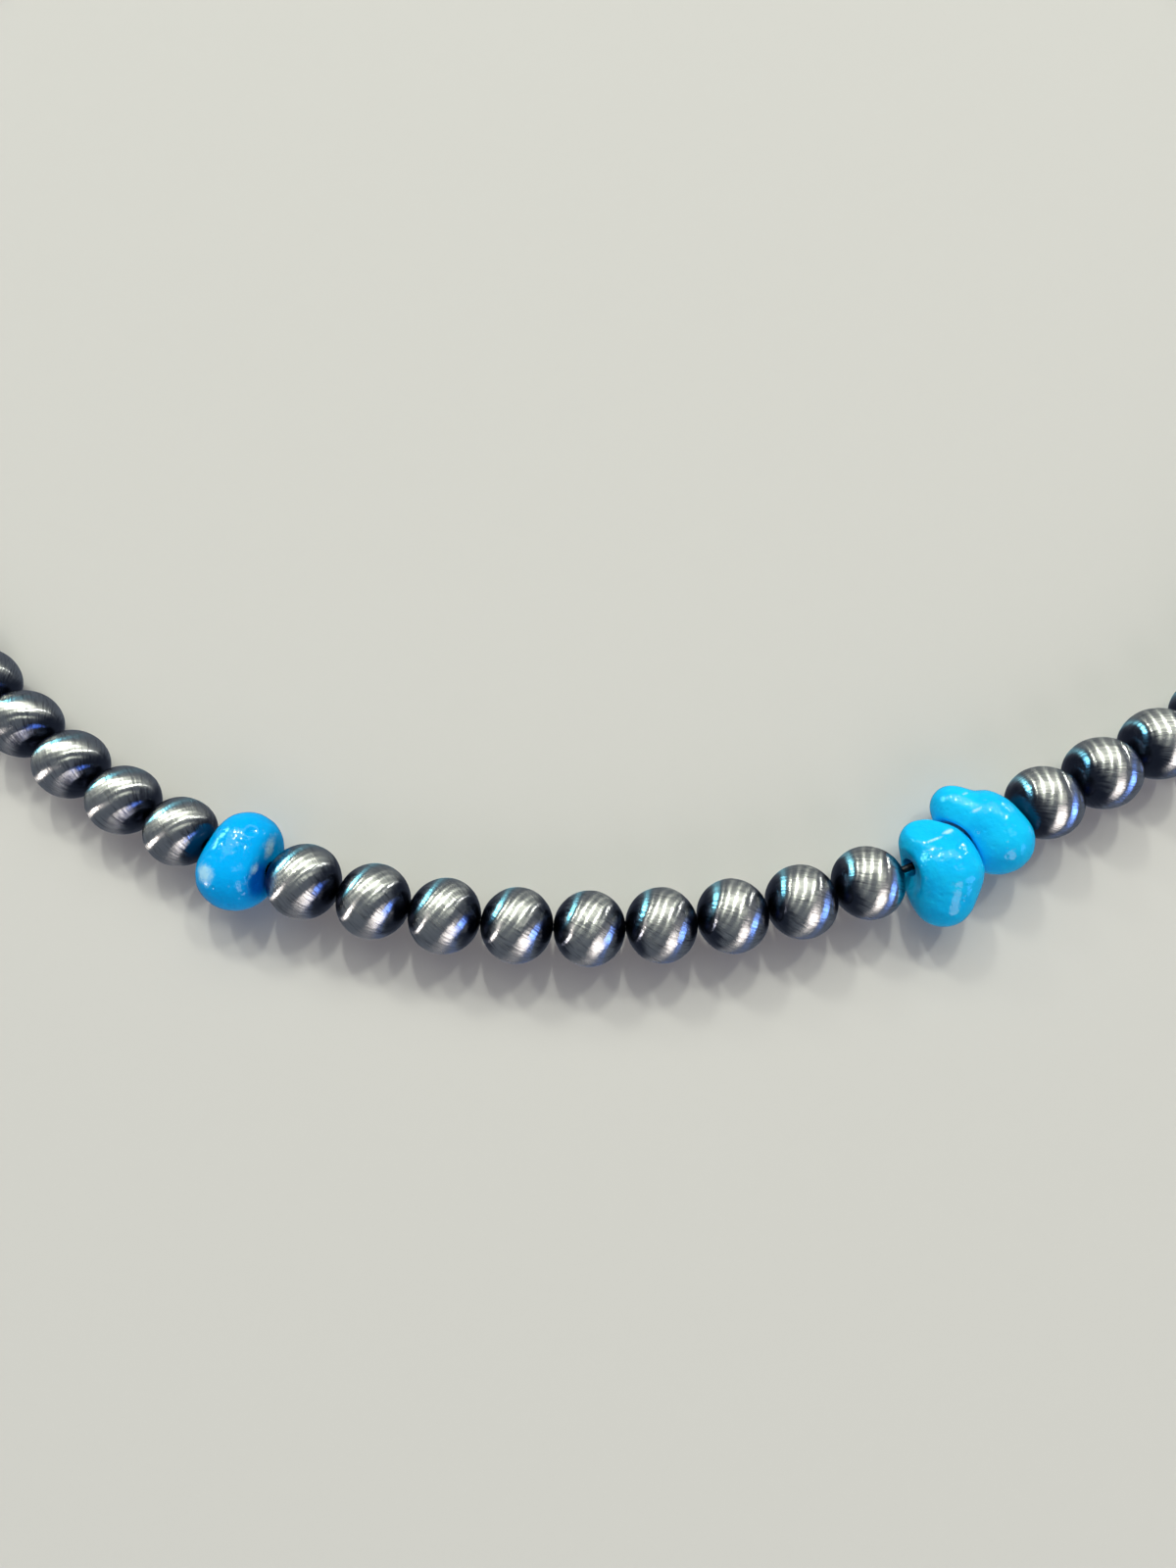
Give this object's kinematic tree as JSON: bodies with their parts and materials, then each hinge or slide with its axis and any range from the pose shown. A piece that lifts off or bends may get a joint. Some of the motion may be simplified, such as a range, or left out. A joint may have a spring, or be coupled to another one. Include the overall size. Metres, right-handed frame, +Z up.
{
  "type": "choker necklace",
  "caption": "Choker necklace lying as a closed loop: round satin silver beads and turquoise nuggets strung on a wire and closed by a plain box clasp.",
  "frame": {"origin": "middle of the choker's footprint, on the surface that it lies on", "axes": "+Z up from the surface, -Y to the front of the choker where the turquoise is, +Y to the clasp, +X to the right as seen from the front"},
  "size_m": [0.134, 0.1344, 0.0054],
  "materials": {
    "bead_silver": "oxidised silver with a fine satin brushing, dark in the recesses",
    "turquoise": "sky-blue turquoise, tumbled smooth and waxed",
    "wire": "dull drawn steel stringing wire",
    "clasp_silver": "oxidised silver with a satin brushing"
  },
  "bodies": {
    "root": {"silver_bead_01": "bead_silver", "silver_bead_02": "bead_silver", "silver_bead_03": "bead_silver", "silver_bead_04": "bead_silver", "silver_bead_05": "bead_silver", "silver_bead_06": "bead_silver", "silver_bead_07": "bead_silver", "silver_bead_08": "bead_silver", "silver_bead_09": "bead_silver", "silver_bead_10": "bead_silver", "silver_bead_11": "bead_silver", "silver_bead_12": "bead_silver", "silver_bead_13": "bead_silver", "silver_bead_14": "bead_silver", "silver_bead_15": "bead_silver", "silver_bead_16": "bead_silver", "silver_bead_17": "bead_silver", "silver_bead_18": "bead_silver", "silver_bead_19": "bead_silver", "silver_bead_20": "bead_silver", "silver_bead_21": "bead_silver", "silver_bead_22": "bead_silver", "silver_bead_23": "bead_silver", "silver_bead_24": "bead_silver", "silver_bead_25": "bead_silver", "silver_bead_26": "bead_silver", "silver_bead_27": "bead_silver", "silver_bead_28": "bead_silver", "silver_bead_29": "bead_silver", "silver_bead_30": "bead_silver", "silver_bead_31": "bead_silver", "silver_bead_32": "bead_silver", "silver_bead_33": "bead_silver", "silver_bead_34": "bead_silver", "silver_bead_35": "bead_silver", "silver_bead_36": "bead_silver", "silver_bead_37": "bead_silver", "bead_string_left_rear": "bead_silver", "bead_string_left": "bead_silver", "bead_string_right": "bead_silver", "bead_string_right_rear": "bead_silver", "turquoise_nugget_left": "turquoise", "turquoise_nugget_middle": "turquoise", "turquoise_nugget_right": "turquoise", "stringing_wire": "wire", "box_clasp": "clasp_silver"}
  },
  "joints": []
}
